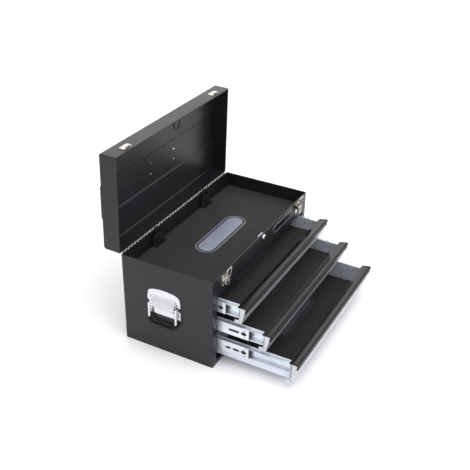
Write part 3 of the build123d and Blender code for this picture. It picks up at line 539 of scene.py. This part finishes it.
class CHEST_OT_badge(bpy.types.Operator):
    """Fixes a blank stadium badge, a thin bright frame round a dark plate, to the fascia"""
    bl_idname = "chest.badge"
    bl_label = "Fascia badge"

    def execute(self, context):
        sizes = context.scene.chest_sizes
        badge_x, badge_z = 108 * MM, 221 * MM
        rim, rim_rise, rim_edge = 1.3 * MM, 0.9 * MM, 0.4 * MM
        plate_rise, bead_rise, bead, small_edge = 0.5 * MM, 0.3 * MM, 0.7 * MM, 0.1 * MM
        bead_inset = 3.5 * rim
        place = facing((badge_x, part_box("front_fascia")[0].y, badge_z), (0, -1, 0), (1, 0, 0))
        outer = stadium(sizes.badge_length, sizes.badge_width)
        bm = bmesh.new()
        layered(bm, outer, edge_steps(rim_rise, rim_edge, count=3), place,
                hole=inset(outer, rim))
        piece("fascia_badge_rim", bm, "ink_rim", "cabinet")
        bm = bmesh.new()
        layered(bm, inset(outer, rim), edge_steps(plate_rise, small_edge, count=2), place)
        raised = inset(outer, bead_inset)
        lifted = place @ Matrix.Translation((0, 0, plate_rise))
        layered(bm, raised, edge_steps(bead_rise, small_edge, count=2), lifted,
                hole=inset(raised, bead))
        piece("fascia_badge_plate", bm, "oxide", "cabinet")
        return {"FINISHED"}


class CHEST_OT_handle_plates(bpy.types.Operator):
    """Presses the side handle plates: feet, waist, arched top and the hood over the bail's barrel"""
    bl_idname = "chest.handle_plates"
    bl_label = "Side handle plates"

    def execute(self, context):
        low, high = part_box("side_handle_plates")
        cy, half = (low.y + high.y) / 2, (high.y - low.y) / 2
        foot, crown = low.z, high.z
        bail_low, bail_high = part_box("side_bail_left")
        pin_below = 3.2 * MM          # from the bail's top down to its pin's centre
        pin_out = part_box("left_side_panel")[0].x - (bail_low.x + bail_high.x) / 2
        pin_z = bail_high.z - pin_below
        thick, plate_edge, barrel_r, bore_r = 1.5 * MM, 0.7 * MM, 4.8 * MM, 2.45 * MM
        shoulder = crown - 9 * MM
        # The outline's right edge between foot and shoulder: how far in, and how far above the pin.
        edge = ((0, -7), (7, -3), (7, 2), (0, 7), (0, 13))
        right = [(half, foot)] + [(half - u * MM, pin_z + v * MM) for u, v in edge]
        right.append((half - 3 * MM, shoulder))
        # Its arched top: shares of the half width, and drops from the crown.
        arch = [(half * 0.62, crown - 3.2 * MM), (half * 0.3, crown - 0.8 * MM), (0, crown)]
        left = [(-u, v) for u, v in reversed(arch[:-1])] + [(-u, v) for u, v in reversed(right)]
        edge_radii, arch_radii = (3, 2, 1.5, 1.5, 2, 12, 9), (30, 60, 90)
        radii = edge_radii + arch_radii + arch_radii[-2::-1] + edge_radii[::-1]
        outline = rounded(right + arch + left, [r * MM for r in radii], steps=5)
        # The hood's section, height across and out from the wall up: flat back, barrel round the
        # pin, then a slope with a raised and a sunk bead, placed by their share of its length.
        barrel = Vector((pin_z, pin_out))
        hood_top, hood_back, bead = pin_z + 23.5 * MM, thick * 0.6, 0.8 * MM
        hood = [Vector((hood_top, thick)), Vector((hood_top, hood_back)),
                Vector((pin_z - barrel_r, hood_back))]
        hood += [barrel + Vector((sin(a), -cos(a))) * barrel_r
                 for a in (radians(-90 - 18 * k) for k in range(9))]
        start, end = hood[-1], hood[0]
        out = Vector((end.y - start.y, start.x - end.x)).normalized() * -bead
        beads = ((0.12, 0), (0.18, 1), (0.24, 1), (0.3, 0), (0.7, 0), (0.76, -1), (0.84, -1), (0.9, 0))
        hood += [start + (end - start) * t + out * rise for t, rise in beads]
        bore = [barrel + (p - barrel).normalized() * bore_r for p in hood]
        # The hood's ends are rounded: how far in, and how far from the end.
        reach = 33 * MM
        rounding = ((0.8 * MM, 0.0), (0.2 * MM, 0.6 * MM), (0.0, 1.6 * MM))
        ends = [(d, h - reach) for d, h in rounding] + [(d, reach - h) for d, h in rounding[::-1]]
        bm = bmesh.new()
        for side, sign in SIDES:
            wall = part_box(side + "_side_panel")[0 if sign < 0 else 1].x
            layered(bm, outline, edge_steps(thick, plate_edge),
                    facing((wall, cy, 0), (sign, 0, 0), (0, sign, 0)))
            along = Matrix(((0, sign, 0), (0, 0, 1), (1, 0, 0))).to_4x4()
            layered(bm, hood, ends, Matrix.Translation((wall, cy, 0)) @ along, hole=bore)
        plates = piece("side_handle_plate_pressings", bm, "chrome", "cabinet",
                       smooth=30)
        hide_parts("side_handle_plates")
        rivet_out, head, rise = 38 * MM, 6.8 * MM, 1.8 * MM
        rivet_rows = (foot + 5 * MM, shoulder - 16 * MM)
        bm = bmesh.new()
        for side, sign in SIDES:
            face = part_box(side + "_side_panel")[0 if sign < 0 else 1].x + sign * thick
            for v in rivet_rows:
                for u in (-rivet_out, rivet_out):
                    rivet(bm, facing((face, cy + u, v), (sign, 0, 0), (0, 1, 0)), head, rise)
        heads = piece("side_handle_rivet_heads", bm, "chrome", "cabinet")
        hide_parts("side_handle_rivets")
        return {"FINISHED"}


def on_lid(x, y, z):
    """A point given on the shut lid, in millimetres, where it lies with the lid open."""
    turn, back, over = radians(LID_OPEN), y - HINGE_Y, z - HINGE_Z
    return Vector((x, HINGE_Y + back * cos(turn) + over * sin(turn),
                   HINGE_Z - back * sin(turn) + over * cos(turn))) * MM


class CHEST_OT_cages(bpy.types.Operator):
    """Fits black ball cages with their balls behind the middle slides; the cages' black also stands in
    for the shade seen through the slots, a painted shade
    """
    bl_idname = "chest.cages"
    bl_label = "Ball cages"

    def execute(self, context):
        count = context.scene.chest_sizes.balls
        long, tall, corner = 62 * MM, 22 * MM, 2 * MM
        sheet, sheet_edge = 0.8 * MM, 0.2 * MM
        sunk, set_back = 2.2 * MM, 4 * MM         # behind the slide's face and behind its front end
        ball, ball_lift, ball_row = 0.55 * MM, 0.4 * MM, tall / 2 + 0.8 * MM
        outline = rounded(oblong(-long / 2, -tall / 2, long / 2, tall / 2), corner)
        for i in DRAWERS:
            low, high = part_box(f"middle_slides_{i}")
            z = (low.z + high.z) / 2
            strips, balls = bmesh.new(), bmesh.new()
            for sign in (-1, 1):
                place = facing((sign * (high.x - sunk), low.y + set_back + long / 2, z),
                               (sign, 0, 0), (0, sign, 0))
                layered(strips, outline, edge_steps(sheet, sheet_edge, count=2), place)
                for k in range(count):
                    u = (k + 0.5) * long / count - long / 2
                    for v in (-ball_row, ball_row):
                        spot = place @ Matrix.Translation((u, v, ball_lift))
                        bmesh.ops.create_uvsphere(balls, u_segments=12, v_segments=8,
                                                  radius=ball, matrix=spot)
            # The black cage strips are a real part whose colour also paints the shade in the slides'
            # slots.
            piece(f"ball_cage_slot_shade_{i}", strips, "bumper", f"slide_rails_{i}")
            piece(f"slide_balls_{i}", balls, "chrome", f"slide_rails_{i}")
        return {"FINISHED"}


class CHEST_OT_rivets(bpy.types.Operator):
    """Sets the rivet heads on latch bases, lid catches, slides and rod guides, and the pans' screws"""
    bl_idname = "chest.rivets"
    bl_label = "Rivets"

    def execute(self, context):
        head, rise = context.scene.chest_sizes.rivet, 1.1 * MM
        forward, across = (0, -1, 0), (1, 0, 0)

        # Distances from each fitting's own middle, and heights, are in millimetres.
        latch_sheet = 1.2 * MM
        base_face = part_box("front_fascia")[0].y - latch_sheet
        bm = bmesh.new()
        for x in (-LATCH_X, LATCH_X):
            for u in (-11, 11):
                for z in (209.6, 233):
                    spot = ((x + u) * MM, base_face, z * MM)
                    rivet(bm, facing(spot, forward, across), head, rise)
        piece("latch_base_rivets", bm, "nickel", "cabinet")

        # A metre forward on the shut lid, as it points with the lid open.
        outward = on_lid(0, -1000, 0) - on_lid(0, 0, 0)
        catch_face, catch_z = -125.5, 259
        bm = bmesh.new()
        for x in (-LATCH_X, LATCH_X):
            for u in (-11.5, 11.5):
                rivet(bm, facing(on_lid(x + u, catch_face, catch_z), outward, across), head, rise)
        piece("lid_catch_rivets", bm, "nickel", "lid")

        # Slide rivets: distances behind the drawer slide's front end. Pan screws: distances behind
        # the pan's front and below its rim.
        slide_rivets, web_in = (20, 46, 72, 150), 6.7 * MM
        slide_head, slide_rise = 5 * MM, 1.2 * MM
        pan_screws, pan_sheet = ((12, 9), (21, 14), (36, 16), (150, 15)), 1.0 * MM
        screw_head, screw_rise = 3.6 * MM, 0.9 * MM
        for i in DRAWERS:
            low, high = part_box(f"drawer_slides_{i}")
            bm = bmesh.new()
            for sign in (-1, 1):
                for back in slide_rivets:
                    spot = (sign * (high.x - web_in), low.y + back * MM, (low.z + high.z) / 2)
                    rivet(bm, facing(spot, (sign, 0, 0), (0, 1, 0)), slide_head, slide_rise)
            piece(f"drawer_slide_rivets_{i}", bm, "zinc", f"drawer_{i}")
            low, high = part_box(f"drawer_pan_{i}")
            bm = bmesh.new()
            for sign in (-1, 1):
                for back, drop in pan_screws:
                    spot = (sign * (high.x - pan_sheet), low.y + back * MM, high.z - drop * MM)
                    rivet(bm, facing(spot, (-sign, 0, 0), (0, 1, 0)), screw_head, screw_rise)
            piece(f"drawer_pan_screws_{i}", bm, "oxide", f"drawer_{i}")

        guide_face, guide_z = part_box("rod_guides")[0].y, 224
        bm = bmesh.new()
        for x in (-ROD_GUIDE_X, ROD_GUIDE_X):
            for u in (-13, 13):
                spot = ((x + u) * MM, guide_face, guide_z * MM)
                rivet(bm, facing(spot, forward, across), head, rise)
        piece("rod_guide_rivets", bm, "paint", "cabinet")
        return {"FINISHED"}


class CHEST_OT_stage(bpy.types.Operator):
    """Sets the pale floor, the soft lights and the camera"""
    bl_idname = "chest.stage"
    bl_label = "Studio"

    def execute(self, context):
        scene = context.scene
        camera = bpy.data.objects.new("camera", bpy.data.cameras.new("camera"))
        scene.collection.objects.link(camera)
        scene.camera = camera
        scene.view_settings.view_transform = "Standard"
        azimuth, elevation, roll = radians(-62.18), radians(30.55), radians(1.12)
        target, distance = Vector((36.67, -22.31, 186.99)) * MM, 2001.09 * MM
        back = Vector((sin(azimuth) * cos(elevation), -cos(azimuth) * cos(elevation), sin(elevation)))
        right = Vector((0, 0, 1)).cross(back).normalized()
        up = back.cross(right)
        across = right * cos(roll) + up * sin(roll)
        above = up * cos(roll) - right * sin(roll)
        turn = Matrix((across, above, back)).transposed().to_4x4()
        camera.matrix_world = Matrix.Translation(target + back * distance) @ turn
        camera.data.sensor_width = 36
        camera.data.lens = 59.52
        camera.data.clip_start, camera.data.clip_end = 0.05, 60

        half_floor, clearance = 14, 0.2 * MM
        bm = bmesh.new()
        bmesh.ops.create_grid(bm, x_segments=8, y_segments=8, size=half_floor)
        mesh = bpy.data.meshes.new("studio_floor")
        bm.to_mesh(mesh)
        bm.free()
        floor = bpy.data.objects.new("studio_floor", mesh)
        scene.collection.objects.link(floor)
        floor.location.z = cad_low.z - clearance
        pale = tuple(scene.chest_finishes.floor)
        # Matt studio paper: almost white and even.
        mesh.materials.append(surface("paper_white_matt", pale, pale, patch=2.0, grain=50 * MM,
                                      depth=0.0, rough=(0.8, 0.9), **{SPECULAR: 0.2}))

        world = bpy.data.worlds.new("studio_air")
        scene.world = world
        world.use_nodes = True
        air = world.node_tree.nodes["Background"].inputs
        air["Color"].default_value = (1, 1, 1, 1)
        air["Strength"].default_value = 1.0
        chest_middle = Vector((0, 0, 0.2))
        # Name, place and size in metres, and power in watts.
        for name, spot, size, power in (
            ("overhead_softbox", (-0.4, -0.8, 3.0), 3.0, 48),
            ("front_softbox", (-0.6, -2.8, 1.0), 2.0, 8),
            ("back_softbox", (2.6, 1.9, 2.2), 2.4, 12),
        ):
            light = bpy.data.lights.new(name, "AREA")
            light.shape = "DISK"
            light.size = size
            light.energy = power
            lamp = bpy.data.objects.new(name, light)
            lamp.location = spot
            aim = chest_middle - Vector(spot)
            lamp.rotation_euler = aim.to_track_quat("-Z", "Y").to_euler()
            scene.collection.objects.link(lamp)
        return {"FINISHED"}


class CHEST_PT_pieces(bpy.types.Panel):
    """Lists the chest's pieces in the sidebar"""
    bl_idname = "CHEST_PT_pieces"
    bl_label = "Tool chest"
    bl_space_type = "VIEW_3D"
    bl_region_type = "UI"
    bl_category = "Tool chest"

    def draw(self, context):
        for group in (context.scene.chest_finishes, context.scene.chest_sizes):
            column = self.layout.column()
            for name in group.__annotations__:
                column.prop(group, name)
        for step in OPERATORS:
            self.layout.operator(step.bl_idname)


OPERATORS = (
    CHEST_OT_finishes,
    CHEST_OT_tray_mat,
    CHEST_OT_drawer_mats,
    CHEST_OT_mat_prints,
    CHEST_OT_badge,
    CHEST_OT_handle_plates,
    CHEST_OT_cages,
    CHEST_OT_rivets,
    CHEST_OT_stage,
)
CLASSES = (ChestFinishes, ChestSizes) + OPERATORS + (CHEST_PT_pieces,)


def register():
    for one in CLASSES:
        bpy.utils.register_class(one)
    bpy.types.Scene.chest_finishes = PointerProperty(type=ChestFinishes)
    bpy.types.Scene.chest_sizes = PointerProperty(type=ChestSizes)


def unregister():
    del bpy.types.Scene.chest_sizes
    del bpy.types.Scene.chest_finishes
    for one in reversed(CLASSES):
        bpy.utils.unregister_class(one)


def main():
    register()
    for step in OPERATORS:
        group, name = step.bl_idname.split(".")
        getattr(getattr(bpy.ops, group), name)()


if __name__ == "__main__":
    main()
